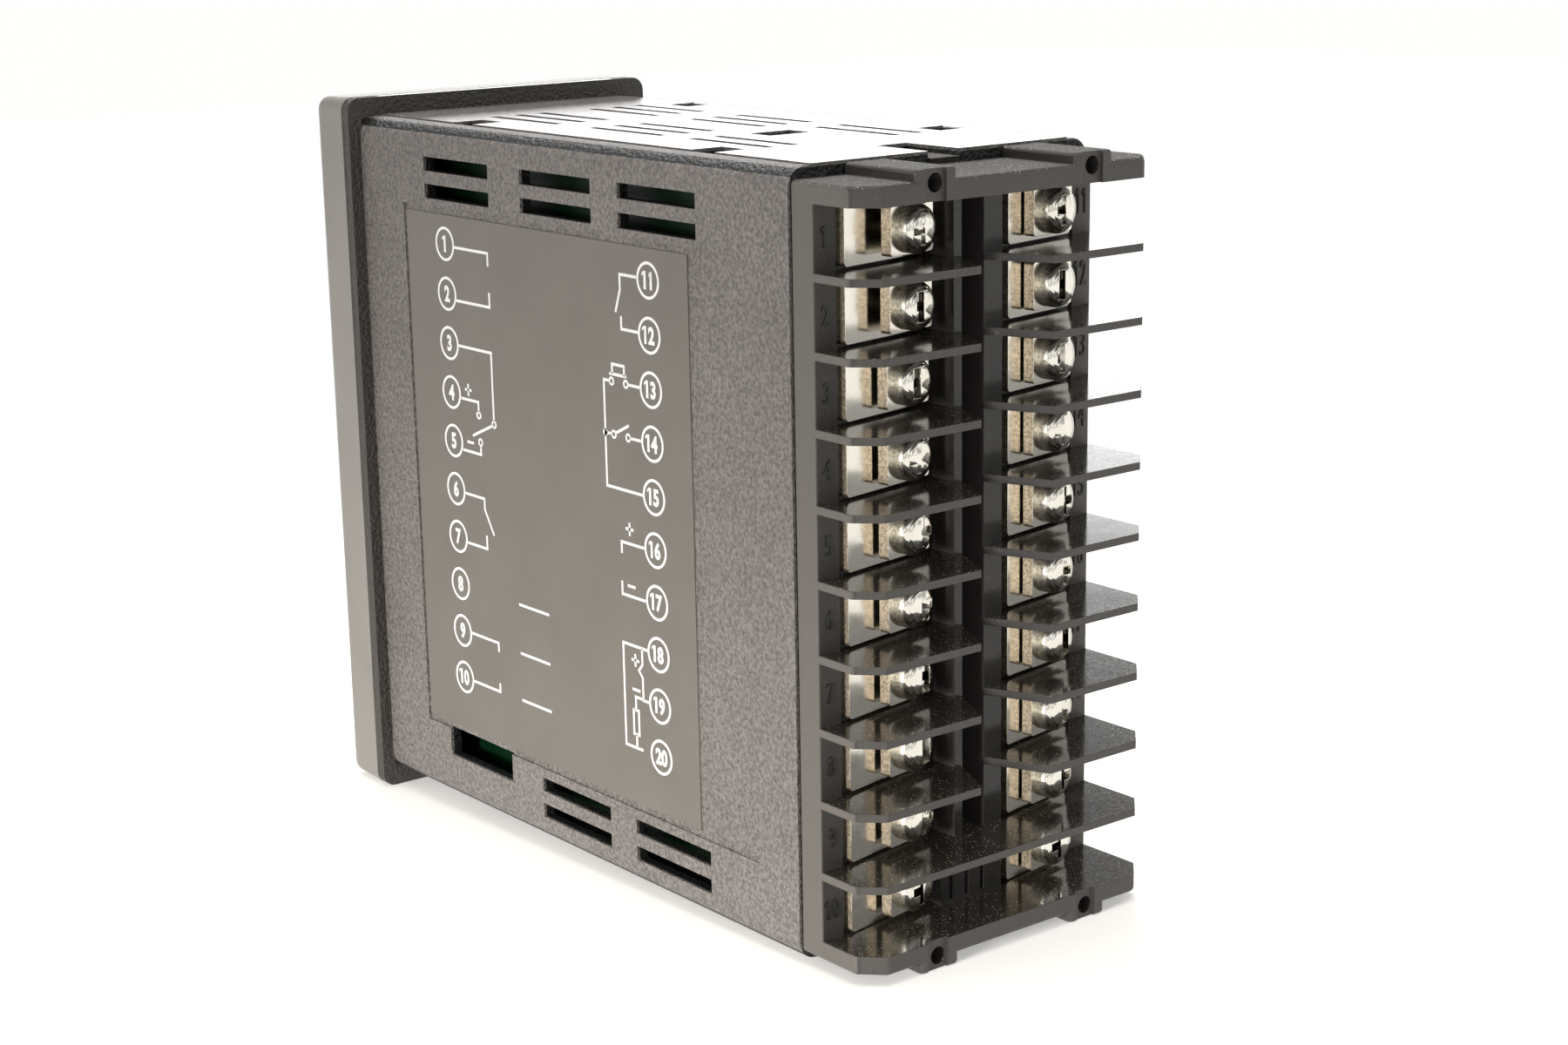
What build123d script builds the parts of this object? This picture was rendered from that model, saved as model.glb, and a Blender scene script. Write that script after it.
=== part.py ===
from build123d import *

import os
from math import cos, radians, sin, tan

# A panel-mounted temperature controller, 48 x 96 mm on the front.
# The origin is the centre of the plane that seats on the panel.
# +X is to the right seen from the front, +Y runs back through the panel, +Z is up. Millimetres.

# Bezel
bezel_width = 48.0
bezel_height = 96.0
bezel_depth = 9.6
bezel_corner_radius = 1.8
bezel_edge_radius = 2.0
bezel_draft_angle = 1.5
bezel_front_wall = 1.6
seam_width = 0.6
seam_depth = 0.6
spigot_reach = 2.0
spigot_wall = 1.4

# Case
sleeve_width = 44.8
sleeve_height = 91.4
sleeve_length = 91.0
sleeve_wall = 1.6
sleeve_corner_radius = 2.4
flange_thickness = 1.2
plateau_width = 38.4
plateau_rise = 0.2

# Card guides inside the case
guide_rib_width = 1.2
guide_rib_height = 1.8
guide_front = 5.0
guide_rear = 86.0

# Ventilation slots
vent_rows_front = (16.0, 38.4, 59.1)
vent_length = 15.2
top_vents_each_side = (3, 3, 2)
side_vents_each_end = 2
top_vent_width = 1.3
top_vent_pitch = 3.7
top_vent_outer_x = 11.4
side_vent_height = 1.85
side_vent_pitch = 3.5
side_vent_upper_z = 40.5
side_vent_lower_z = -37.8
side_port_height = 3.95
side_port_z = -37.4

# Hooks and windows for the panel fixing
centre_window_width = 6.2
centre_window_length = 4.2
centre_window_front = 59.5
fixing_pocket_width = 4.5
fixing_pocket_length = 4.5
fixing_pocket_depth = 0.9
fixing_pocket_x = 17.0
fixing_pocket_fronts = (18.6, 69.5)
latch_notch_width = 4.6
latch_notch_length = 9.0

# Side label and its recess
recess_front = 10.5
recess_rear = 83.8
recess_top = 35.1
recess_bottom = -35.6
recess_depth = 0.3
label_length = 61.4
label_height = 69.0
label_margin = 0.4
label_thickness = 0.15

# Display window and key film
window_width = 40.0
window_height = 44.0
window_top_margin = 6.0
window_thickness = 1.1
window_ledge = 1.5
film_width = 40.0
film_height = 36.0
film_bottom_margin = 5.0
film_thickness = 0.3

# Keys
key_names = ("level_key", "mode_key", "down_key", "up_key")
key_width = 7.4
key_height = 7.4
key_pitch = 9.6
key_film_margin = 9.3
key_proud = 0.8
key_travel = 0.5
key_clearance = 0.2
key_corner_radius = 1.2
key_edge_radius = 0.4
key_collar_margin = 0.7
key_collar_thickness = 0.8
key_stem_radius = 1.5
stem_stop_gap = 0.1
collar_gap = 0.1

# Tactile switches behind the keys
switch_side = 6.0
switch_body_height = 3.6
switch_plunger_height = 1.5
switch_plunger_radius = 1.75

# Display modules and status lamps
process_display_size = (34.0, 17.0)
process_display_rise = 10.0
setpoint_display_size = (28.0, 12.0)
setpoint_display_drop = 6.5
display_depth = 9.0
display_edge_chamfer = 0.4
lamp_names = ("output_lamp", "alarm_lamp", "manual_lamp", "run_lamp")
lamp_width = 3.0
lamp_height = 2.0
lamp_depth = 8.4
lamp_pitch = 8.0
lamp_drop = 17.0

# Circuit boards
board_thickness = 1.6
board_clearance = 0.15
front_board_width = 40.2
front_board_height = 86.0
side_board_height = 86.8
side_board_front_gap = 0.6
side_board_length = 82.4
power_board_x = -14.8
control_board_x = 16.3

# Parts on the boards
front_header_size = (2.6, 7.0, 25.4)
rear_header_size = (5.0, 5.0, 76.0)
core_size = (12.0, 28.0, 24.0)
core_window = (5.0, 14.0)
core_leg = 8.0
coil_overhang = 3.0
coil_clearance = 0.2
transformer_stand_off = 3.2
transformer_y = 46.0
transformer_z = -2.0
relay_size = (15.5, 20.0, 10.2)
relay_y = 71.0
relay_edge_chamfer = 0.5
output_relay_z = -34.0
alarm_relay_z = -22.0
smoothing_capacitor_radius = 5.0
smoothing_capacitor_height = 16.0
input_capacitor_radius = 4.0
input_capacitor_height = 12.0
capacitor_y = 20.0
smoothing_capacitor_z = -28.0
input_capacitor_z = 26.0
capacitor_edge_radius = 0.5
controller_chip_side = 12.0
controller_chip_height = 1.5
controller_chip_y = 44.0
controller_chip_z = 8.0

# Terminal block
block_width = 44.4
block_gap = 0.4
block_plug_clearance = 0.25
block_plug_length = 3.5
block_rear = 103.2
block_corner_chamfer = 2.7
terminal_rows = 10
terminal_pitch = 8.5
column_x = 11.2
column_tilt = 10.5
column_seat_y = 93.1
barrier_thickness = 0.9
barrier_inner_x = 5.5
channel_width = 4.0
channel_depth = 5.9
near_strip_y = 94.9
near_strip_width = 3.1
far_strip_y = 91.9
far_strip_width = 2.9
near_wall_y = 96.2
near_wall_thickness = 1.2
far_wall_y = 95.5
far_wall_thickness = 2.8
ledge_inset = 0.15
ledge_thickness = 2.3
ledge_corner_radius = 1.0
ledge_edge_radius = 0.6
lug_x = 11.7
lug_width = 6.0
lug_rise = 1.25
lug_corner_radius = 0.9
lug_edge_radius = 0.4
lug_groove_width = 3.0
lug_groove_depth = 0.5
lug_groove_shift = 0.3
lug_hole_radius = 1.05
lug_hole_depth = 6.0
lug_hole_drop = 1.55
tongue_width = 4.2
tongue_thickness = 2.2
tongue_drop = 0.8
tongue_end_gap = 0.3
grille_slots = 3
grille_wall_x = 4.8
grille_middle_x = 0.7
grille_slot_width = 0.55
grille_slot_pitch = 2.45
grille_slot_height = 6.3
grille_slot_depth = 2.5

# Terminals
plate_thickness = 0.9
plate_side_clearance = 0.3
near_screw_x = 9.9
far_screw_x = -12.4
near_plate_span = (-4.9, 8.6)
far_plate_span = (-5.6, 6.4)
plate_corner_radius = 0.5
tail_thickness = 0.8
tail_width = 3.0
tail_length = 8.4
tail_clearance = 0.2
washer_width = 7.4
washer_height = 5.6
washer_thickness = 1.35
washer_corner_radius = 0.4
near_washer_gap = 0.45
far_washer_gap = 0.25
loose_gaps = {1: 1.15, 2: 0.95}
screw_radius = 1.5
screw_hole_clearance = 0.1
screw_head_radius = 2.75
screw_head_height = 1.8
screw_dome_radius = 1.15
screw_length = 4.2
recess_length = 3.4
recess_width = 1.05
recess_sink = 1.2
screw_turn_step = 37.0
pocket_side = 3.8
pocket_sink = 2.0

# Derived places
flange_front = -flange_thickness
seam_front = flange_front - seam_width
bezel_front = -bezel_depth
bezel_inner_front = bezel_front + bezel_front_wall
bore_width = sleeve_width - 2 * sleeve_wall
bore_height = sleeve_height - 2 * plateau_rise - 2 * sleeve_wall
bore_top = bore_height / 2
bore_corner_radius = sleeve_corner_radius - sleeve_wall
spigot_width = bore_width - 2 * board_clearance
spigot_height = bore_height - 2 * board_clearance
rib_offset = (board_thickness + guide_rib_width) / 2 + board_clearance
front_board_y = spigot_reach
front_board_back = front_board_y + board_thickness
side_board_front = front_board_back + side_board_front_gap
side_board_rear = side_board_front + side_board_length
power_board_face = power_board_x + board_thickness / 2
control_board_face = control_board_x - board_thickness / 2
block_front = sleeve_length + block_gap
block_plug_front = block_front - block_plug_length
block_half = block_width / 2
channel_half = channel_width / 2
terminal_top_z = terminal_pitch * (terminal_rows - 1) / 2
bay_height = terminal_pitch - barrier_thickness
plate_height = bay_height - 2 * plate_side_clearance
ledge_inner_z = terminal_top_z + bay_height / 2 - ledge_inset
ledge_outer_z = ledge_inner_z + ledge_thickness
lug_outer_z = ledge_outer_z + lug_rise
lug_hole_z = lug_outer_z - lug_hole_drop
tilt_slope = tan(radians(column_tilt))
through = 2 * bezel_height
window_z = bezel_height / 2 - window_top_margin - window_height / 2
film_z = film_bottom_margin + film_height / 2 - bezel_height / 2
key_z = film_z - film_height / 2 + key_film_margin + key_height / 2
process_display_z = window_z + process_display_rise
setpoint_display_z = window_z - setpoint_display_drop
lamp_z = window_z - lamp_drop


def depth_plane(y):
    """The plane at depth y, drawn as seen from the front: X to the right, Z up."""
    return Plane.XZ.offset(-y)


def seat_y(x, column):
    """Depth of the tilted terminal seat at x, for the column at +1 (near) or -1 (far)."""
    return column_seat_y + tilt_slope * (x - column * column_x)


def terminal_z(row):
    """Height of a terminal's centre, row 0 at the top."""
    return terminal_top_z - terminal_pitch * row


def terminal_plane(number, height=0.0, shift=0.0, turn=0.0):
    """Plane on a terminal's tilted seat, centred on the screw and with its normal along it.

    height lifts it off the seat, shift moves it along the seat towards +X and turn turns it
    about the screw.
    """
    column = 1 if number <= terminal_rows else -1
    screw_x = near_screw_x if number <= terminal_rows else far_screw_x
    row = (number - 1) % terminal_rows
    normal = Vector(-sin(radians(column_tilt)), cos(radians(column_tilt)), 0)
    along = Vector(cos(radians(column_tilt)), sin(radians(column_tilt)), 0)
    seat = Vector(screw_x, seat_y(screw_x, column), terminal_z(row))
    origin = seat + normal * height + along * shift
    return Plane(origin=origin, x_dir=along, z_dir=normal).rotated((0, 0, turn))


def plate_span(number):
    """Ends of a terminal's plate along the seat, from the screw."""
    return near_plate_span if number <= terminal_rows else far_plate_span


def tail_shift(number):
    """Place of the plate's bent tail along the seat, at the end next to the channel."""
    if number <= terminal_rows:
        return near_plate_span[0] + tail_thickness / 2
    return far_plate_span[1] - tail_thickness / 2


def washer_lift(number):
    """Height of the washer's underside above the seat."""
    washer_gap = near_washer_gap if number <= terminal_rows else far_washer_gap
    return plate_thickness + loose_gaps.get(number, washer_gap)


def head_lift(number):
    """Height of the screw head's underside above the seat."""
    return washer_lift(number) + washer_thickness


def save(part, name):
    part.label = name
    export_step(part, f"parts/{name}.step")


terminal_numbers = range(1, 2 * terminal_rows + 1)
barrier_heights = [terminal_z(row) - terminal_pitch / 2 for row in range(terminal_rows - 1)]
screw_direction = terminal_plane(1).z_dir

# Case: a sleeve with a panel flange, card guides, vents and fixing pockets
with BuildPart() as case:
    with BuildSketch(depth_plane(0)):
        RectangleRounded(sleeve_width, sleeve_height - 2 * plateau_rise, sleeve_corner_radius)
        Rectangle(plateau_width, sleeve_height)
    extrude(amount=-sleeve_length)
    with BuildSketch(depth_plane(flange_front)):
        RectangleRounded(bezel_width, bezel_height, bezel_corner_radius)
    extrude(amount=-flange_thickness)
    with BuildSketch(depth_plane(flange_front)):
        RectangleRounded(bore_width, bore_height, bore_corner_radius)
    extrude(amount=-(sleeve_length + flange_thickness), mode=Mode.SUBTRACT)
    with BuildSketch(depth_plane(guide_front)):
        for board_x in (power_board_x, control_board_x):
            for side in (1, -1):
                for end in (1, -1):
                    with Locations((board_x + side * rib_offset, end * (bore_top - guide_rib_height / 2))):
                        Rectangle(guide_rib_width, guide_rib_height)
    extrude(amount=-(guide_rear - guide_front))
    # Slots through the top and bottom walls, three each side of the middle, two beside the window
    with BuildSketch(Plane.XY):
        for group, front in enumerate(vent_rows_front):
            for slot in range(top_vents_each_side[group]):
                for side in (1, -1):
                    slot_x = side * (top_vent_outer_x - slot * top_vent_pitch)
                    with Locations((slot_x, front + vent_length / 2)):
                        Rectangle(top_vent_width, vent_length)
        with Locations((0, centre_window_front + centre_window_length / 2)):
            Rectangle(centre_window_width, centre_window_length)
        with Locations((0, sleeve_length - latch_notch_length / 2)):
            Rectangle(latch_notch_width, latch_notch_length)
    extrude(amount=through, both=True, mode=Mode.SUBTRACT)
    # Slots through both side walls: pairs above and below, one wide port at the lower front
    with BuildSketch(Plane.YZ):
        for group, front in enumerate(vent_rows_front):
            for slot in range(side_vents_each_end):
                upper_z = side_vent_upper_z - slot * side_vent_pitch
                with Locations((front + vent_length / 2, upper_z)):
                    Rectangle(vent_length, side_vent_height)
                if group > 0:
                    with Locations((front + vent_length / 2, side_vent_lower_z - slot * side_vent_pitch)):
                        Rectangle(vent_length, side_vent_height)
        with Locations((vent_rows_front[0] + vent_length / 2, side_port_z)):
            Rectangle(vent_length, side_port_height)
    extrude(amount=through, both=True, mode=Mode.SUBTRACT)
    # Shallow pockets for the panel fixing, on the top and the bottom
    for end in (1, -1):
        with BuildSketch(Plane.XY.offset(end * sleeve_height / 2)):
            for front in fixing_pocket_fronts:
                for side in (1, -1):
                    with Locations((side * fixing_pocket_x, front + fixing_pocket_length / 2)):
                        Rectangle(fixing_pocket_width, fixing_pocket_length)
        extrude(amount=-end * fixing_pocket_depth, mode=Mode.SUBTRACT)
    with BuildSketch(Plane.YZ.offset(sleeve_width / 2)):
        with Locations(((recess_front + recess_rear) / 2, (recess_top + recess_bottom) / 2)):
            Rectangle(recess_rear - recess_front, recess_top - recess_bottom)
    extrude(amount=-recess_depth, mode=Mode.SUBTRACT)
save(case.part, "case")

# Side label, in the front part of its recess
with BuildPart() as side_label:
    label_y = recess_front + label_margin + label_length / 2
    with BuildSketch(Plane.YZ.offset(sleeve_width / 2 - recess_depth)):
        with Locations((label_y, (recess_top + recess_bottom) / 2)):
            Rectangle(label_length, label_height)
    extrude(amount=label_thickness)
save(side_label.part, "side_label")

# Bezel: a tapered frame with a window opening, key openings and a spigot in the case
with BuildPart() as bezel:
    with BuildSketch(depth_plane(seam_front)):
        RectangleRounded(bezel_width, bezel_height, bezel_corner_radius)
    extrude(amount=seam_front - bezel_front, taper=bezel_draft_angle)
    fillet(bezel.faces().sort_by(Axis.Y)[0].edges(), radius=bezel_edge_radius)
    with BuildSketch(depth_plane(flange_front)):
        RectangleRounded(bezel_width - 2 * seam_depth, bezel_height - 2 * seam_depth, bezel_corner_radius)
    extrude(amount=seam_width)
    with BuildSketch(depth_plane(spigot_reach)):
        RectangleRounded(spigot_width, spigot_height, bore_corner_radius)
    extrude(amount=spigot_reach - flange_front)
    with BuildSketch(depth_plane(spigot_reach)):
        Rectangle(spigot_width - 2 * spigot_wall, spigot_height - 2 * spigot_wall)
    extrude(amount=spigot_reach - bezel_inner_front, mode=Mode.SUBTRACT)
    with BuildSketch(depth_plane(bezel_front)):
        with Locations((0, window_z)):
            Rectangle(window_width, window_height)
    extrude(amount=-window_thickness, mode=Mode.SUBTRACT)
    with BuildSketch(depth_plane(bezel_front)):
        with Locations((0, window_z)):
            Rectangle(window_width - 2 * window_ledge, window_height - 2 * window_ledge)
    extrude(amount=-bezel_front_wall, mode=Mode.SUBTRACT)
    with BuildSketch(depth_plane(bezel_front)):
        with Locations((0, film_z)):
            Rectangle(film_width, film_height)
    extrude(amount=-film_thickness, mode=Mode.SUBTRACT)
    with BuildSketch(depth_plane(bezel_front)):
        with Locations((0, key_z)):
            with GridLocations(key_pitch, 0, len(key_names), 1):
                RectangleRounded(
                    key_width + 2 * key_clearance, key_height + 2 * key_clearance, key_corner_radius
                )
    extrude(amount=-bezel_front_wall, mode=Mode.SUBTRACT)
save(bezel.part, "bezel")

# Front window, flush with the bezel
with BuildPart() as front_window:
    with BuildSketch(depth_plane(bezel_front)):
        with Locations((0, window_z)):
            Rectangle(window_width - 2 * board_clearance, window_height - 2 * board_clearance)
    extrude(amount=-window_thickness)
save(front_window.part, "front_window")

# Key film with an opening for each key
with BuildPart() as key_film:
    with BuildSketch(depth_plane(bezel_front)):
        with Locations((0, film_z)):
            Rectangle(film_width - 2 * board_clearance, film_height - 2 * board_clearance)
        with Locations((0, key_z)):
            with GridLocations(key_pitch, 0, len(key_names), 1):
                RectangleRounded(
                    key_width + 2 * key_clearance,
                    key_height + 2 * key_clearance,
                    key_corner_radius,
                    mode=Mode.SUBTRACT,
                )
    extrude(amount=-film_thickness)
save(key_film.part, "key_film")

# Keys: a cap through the bezel, a collar behind it and a stem to the switch
plunger_front = front_board_y - switch_body_height - switch_plunger_height
collar_front = bezel_inner_front + collar_gap
stem_end = plunger_front - key_travel - stem_stop_gap
key_start_x = -key_pitch * (len(key_names) - 1) / 2
for index, key_name in enumerate(key_names):
    key_x = key_start_x + index * key_pitch
    with BuildPart() as key:
        with BuildSketch(depth_plane(bezel_front - key_proud)):
            with Locations((key_x, key_z)):
                RectangleRounded(key_width, key_height, key_corner_radius)
        extrude(amount=-(collar_front - bezel_front + key_proud))
        chamfer(key.faces().sort_by(Axis.Y)[0].edges(), length=key_edge_radius)
        with BuildSketch(depth_plane(collar_front)):
            with Locations((key_x, key_z)):
                Rectangle(key_width + 2 * key_collar_margin, key_height + 2 * key_collar_margin)
        extrude(amount=-key_collar_thickness)
        with BuildSketch(depth_plane(collar_front + key_collar_thickness)):
            with Locations((key_x, key_z)):
                Circle(key_stem_radius)
        extrude(amount=-(stem_end - collar_front - key_collar_thickness))
    save(key.part, key_name)

    with BuildPart() as key_switch:
        with BuildSketch(depth_plane(front_board_y)):
            with Locations((key_x, key_z)):
                Rectangle(switch_side, switch_side)
        extrude(amount=switch_body_height)
        with BuildSketch(depth_plane(front_board_y - switch_body_height)):
            with Locations((key_x, key_z)):
                Circle(switch_plunger_radius)
        extrude(amount=switch_plunger_height)
    save(key_switch.part, key_name.replace("key", "switch"))

# Front board, seated on the bezel's spigot
with BuildPart() as front_board:
    with BuildSketch(depth_plane(front_board_y)):
        Rectangle(front_board_width, front_board_height)
    extrude(amount=-board_thickness)
save(front_board.part, "front_board")

# Display modules
for display_name, display_size, display_z in (
    ("process_display", process_display_size, process_display_z),
    ("setpoint_display", setpoint_display_size, setpoint_display_z),
):
    with BuildPart() as display:
        with BuildSketch(depth_plane(front_board_y)):
            with Locations((0, display_z)):
                Rectangle(*display_size)
        extrude(amount=display_depth)
        chamfer(display.faces().sort_by(Axis.Y)[0].edges(), length=display_edge_chamfer)
    save(display.part, display_name)

# Status lamps in a row below the displays
for index, lamp_name in enumerate(lamp_names):
    lamp_x = lamp_pitch * (index - (len(lamp_names) - 1) / 2)
    with BuildPart() as lamp:
        with BuildSketch(depth_plane(front_board_y)):
            with Locations((lamp_x, lamp_z)):
                Rectangle(lamp_width, lamp_height)
        extrude(amount=lamp_depth)
    save(lamp.part, lamp_name)

# Side boards, slid into the card guides
for board_name, board_x in (("power_board", power_board_x), ("control_board", control_board_x)):
    with BuildPart() as side_board:
        with BuildSketch(Plane.YZ.offset(board_x)):
            with Locations(((side_board_front + side_board_rear) / 2, 0)):
                Rectangle(side_board_length, side_board_height)
        extrude(amount=board_thickness / 2, both=True)
    save(side_board.part, board_name)

# Headers that join the side boards to the front board and to the terminal block
for board_name, face_x, inward in (
    ("power", power_board_face, 1),
    ("control", control_board_face, -1),
):
    with BuildPart() as front_header:
        with BuildSketch(Plane.YZ.offset(face_x)):
            with Locations((front_board_back + front_header_size[1] / 2, 0)):
                Rectangle(front_header_size[1], front_header_size[2])
        extrude(amount=inward * front_header_size[0])
    save(front_header.part, f"{board_name}_front_header")

    with BuildPart() as rear_header:
        with BuildSketch(Plane.YZ.offset(face_x)):
            with Locations((block_plug_front - rear_header_size[1] / 2, 0)):
                Rectangle(rear_header_size[1], rear_header_size[2])
        extrude(amount=inward * rear_header_size[0])
    save(rear_header.part, f"{board_name}_rear_header")

# Transformer: a laminated core with two windows and a coil round its middle leg
with BuildPart() as transformer_core:
    with BuildSketch(Plane.YZ.offset(power_board_face + transformer_stand_off)):
        with Locations((transformer_y, transformer_z)):
            Rectangle(core_size[1], core_size[2])
            with GridLocations(core_leg + core_window[0], 0, 2, 1):
                Rectangle(*core_window, mode=Mode.SUBTRACT)
    extrude(amount=core_size[0])
save(transformer_core.part, "transformer_core")

with BuildPart() as transformer_coil:
    coil_inner = core_leg + 2 * coil_clearance
    coil_outer = core_leg + 2 * core_window[0] - 2 * coil_clearance
    coil_height = core_window[1] - 2 * coil_clearance
    core_middle_x = power_board_face + transformer_stand_off + core_size[0] / 2
    coil_end = core_size[0] + 2 * coil_overhang
    with BuildSketch(Plane.XY.offset(transformer_z - coil_height / 2)):
        with Locations((core_middle_x, transformer_y)):
            RectangleRounded(coil_end, coil_outer, coil_overhang / 2)
            Rectangle(core_size[0] + 2 * coil_clearance, coil_inner, mode=Mode.SUBTRACT)
    extrude(amount=coil_height)
save(transformer_coil.part, "transformer_coil")

# Relays on the power board
for relay_name, relay_z in (("output_relay", output_relay_z), ("alarm_relay", alarm_relay_z)):
    with BuildPart() as relay:
        with BuildSketch(Plane.YZ.offset(power_board_face)):
            with Locations((relay_y, relay_z)):
                Rectangle(relay_size[1], relay_size[2])
        extrude(amount=relay_size[0])
        chamfer(relay.faces().sort_by(Axis.X)[-1].edges(), length=relay_edge_chamfer)
    save(relay.part, relay_name)

# Electrolytic capacitors on the power board
for capacitor_name, capacitor_radius, capacitor_height, capacitor_z in (
    ("smoothing_capacitor", smoothing_capacitor_radius, smoothing_capacitor_height, smoothing_capacitor_z),
    ("input_capacitor", input_capacitor_radius, input_capacitor_height, input_capacitor_z),
):
    with BuildPart() as capacitor:
        with BuildSketch(Plane.YZ.offset(power_board_face)):
            with Locations((capacitor_y, capacitor_z)):
                Circle(capacitor_radius)
        extrude(amount=capacitor_height)
        chamfer(capacitor.faces().sort_by(Axis.X)[-1].edges(), length=capacitor_edge_radius)
    save(capacitor.part, capacitor_name)

# Controller chip on the control board
with BuildPart() as controller_chip:
    with BuildSketch(Plane.YZ.offset(control_board_face)):
        with Locations((controller_chip_y, controller_chip_z)):
            Rectangle(controller_chip_side, controller_chip_side)
    extrude(amount=-controller_chip_height)
save(controller_chip.part, "controller_chip")

# Upper ledge of the terminal block, with two lugs for a terminal cover
block_middle_y = (block_front + block_rear) / 2
with BuildPart() as block_ledge:
    with BuildSketch(Plane.XY.offset(ledge_inner_z)) as ledge_outline:
        with Locations((0, block_middle_y)):
            Rectangle(block_width, block_rear - block_front)
        chamfer(ledge_outline.vertices().group_by(Axis.Y)[-1], length=block_corner_chamfer)
        rear_corners = ledge_outline.vertices().group_by(Axis.Y)[-2:]
        fillet(rear_corners[0] + rear_corners[1], radius=ledge_corner_radius)
    extrude(amount=ledge_thickness)
    ledge_rim = block_ledge.faces().sort_by(Axis.Z)[-1].edges().sort_by(Axis.Y)[1:]
    fillet(ledge_rim, radius=ledge_edge_radius)
    with BuildSketch(Plane.XY.offset(ledge_inner_z)) as lug_outlines:
        with Locations((0, block_middle_y)):
            with GridLocations(2 * lug_x, 0, 2, 1):
                Rectangle(lug_width, block_rear - block_front)
        fillet(lug_outlines.vertices().group_by(Axis.Y)[-1], radius=lug_corner_radius)
    extrude(amount=lug_outer_z - ledge_inner_z)
    lug_rims = block_ledge.faces().group_by(Axis.Z)[-1].edges().sort_by(Axis.Y)[2:]
    fillet(lug_rims, radius=lug_edge_radius)
    # A shallow groove down each lug, round its screw hole
    with BuildSketch(Plane.XY.offset(ledge_inner_z)):
        with Locations((lug_groove_shift, block_rear - lug_groove_depth / 2)):
            with GridLocations(2 * lug_x, 0, 2, 1):
                Rectangle(lug_groove_width, lug_groove_depth)
    extrude(amount=lug_outer_z - ledge_inner_z, mode=Mode.SUBTRACT)
    with BuildSketch(depth_plane(block_rear)):
        with Locations((0, lug_hole_z)):
            with GridLocations(2 * lug_x, 0, 2, 1):
                Circle(lug_hole_radius)
    extrude(amount=lug_hole_depth, mode=Mode.SUBTRACT)

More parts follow.
